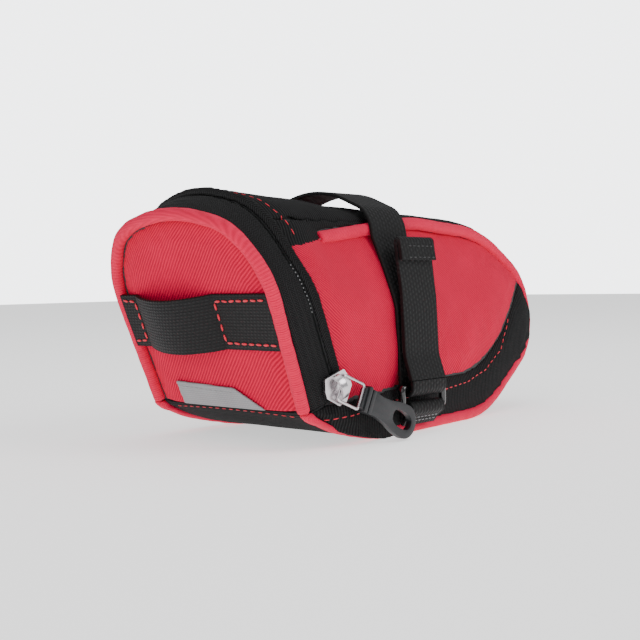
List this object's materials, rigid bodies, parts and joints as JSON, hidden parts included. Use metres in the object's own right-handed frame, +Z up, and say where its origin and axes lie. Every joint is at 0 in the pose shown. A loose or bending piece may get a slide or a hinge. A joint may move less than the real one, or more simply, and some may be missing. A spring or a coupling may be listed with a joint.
{
  "type": "saddle bag",
  "caption": "Wedge-shaped bag that hangs under a bicycle saddle, with piped fabric walls, an arched zip lid, a light loop and a webbing strap that closes with a ring.",
  "frame": {"origin": "centre of the flat base", "axes": "+X forward towards the seat post, +Y left, +Z up"},
  "size_m": [0.1951, 0.0895, 0.0906],
  "materials": {
    "red_twill": "matte diagonal twill",
    "black_twill": "matte ribbed cloth",
    "red_piping": "satin bias tape",
    "zip_tape": "herringbone tape",
    "webbing": "ribbed webbing",
    "foam": "closed-cell foam",
    "lining": "thin smooth cloth",
    "red_thread": "sewing thread",
    "reflective": "grey reflective tape",
    "hook_and_loop": "brushed pile",
    "piping_cord": "soft cord",
    "coil_nylon": "nylon coil",
    "slider_metal": "polished nickel",
    "puller_rubber": "satin moulded rubber",
    "ring_plastic": "glossy moulded plastic"
  },
  "bodies": {
    "shell": {"side_panel_right": "red_twill", "side_panel_left": "red_twill", "side_band_right": "black_twill", "side_band_left": "black_twill", "top_panel": "black_twill", "base_panel": "black_twill", "foam_side_right": "foam", "foam_side_left": "foam", "foam_top": "foam", "foam_base": "foam", "lining_main": "lining", "piping_right": "red_piping", "piping_left": "red_piping", "piping_core_right": "piping_cord", "piping_core_left": "piping_cord", "zip_tape_front": "zip_tape", "zip_coil_front": "coil_nylon", "zip_stops": "coil_nylon", "rail_strap": "webbing", "hook_patch": "hook_and_loop", "ring_tab": "webbing"},
    "lid": {"rear_panel": "red_twill", "zip_tape_rear": "zip_tape", "zip_coil_rear": "coil_nylon", "foam_lid": "foam", "lining_lid": "lining", "piping_rear": "red_piping", "piping_core_rear": "piping_cord", "light_loop": "webbing", "loop_stitching": "red_thread", "reflector_tab": "reflective"},
    "slider": {"zip_slider": "slider_metal"},
    "link": {"pull_link": "slider_metal"},
    "puller": {"zip_puller": "puller_rubber"},
    "ring": {"strap_ring": "ring_plastic"},
    "strap_flap": {"strap_end": "webbing", "fleece_patch": "hook_and_loop"}
  },
  "joints": [
    {"name": "lid_hinge", "type": "hinge", "parent": "shell", "child": "lid", "pos_m": [-0.06828, 0, 0.01211], "axis": [0, -1, 0], "range_deg": [0, 60]},
    {"name": "slider_travel", "type": "slide", "parent": "shell", "child": "slider", "axis": [-0.3616, 0, 0.9323], "range_m": [0, 0.02]},
    {"name": "link_swing", "type": "hinge", "parent": "slider", "child": "link", "pos_m": [-0.0562, -0.04445, 0.0213], "axis": [0.1433, 0.9873, -0.0681], "range_deg": [0, 40]},
    {"name": "puller_lift", "type": "hinge", "parent": "link", "child": "puller", "pos_m": [-0.04782, -0.04594, 0.01732], "axis": [-0.4289, 0, -0.9033], "range_deg": [0, 110]},
    {"name": "ring_tilt", "type": "hinge", "parent": "shell", "child": "ring", "pos_m": [-0.006, -0.04, 0.0095], "axis": [1, 0, 0], "range_deg": [-6, 6]},
    {"name": "strap_peel", "type": "hinge", "parent": "shell", "child": "strap_flap", "pos_m": [-0.006, -0.0436, 0.0201], "axis": [1, 0, 0], "range_deg": [0, 95]}
  ]
}
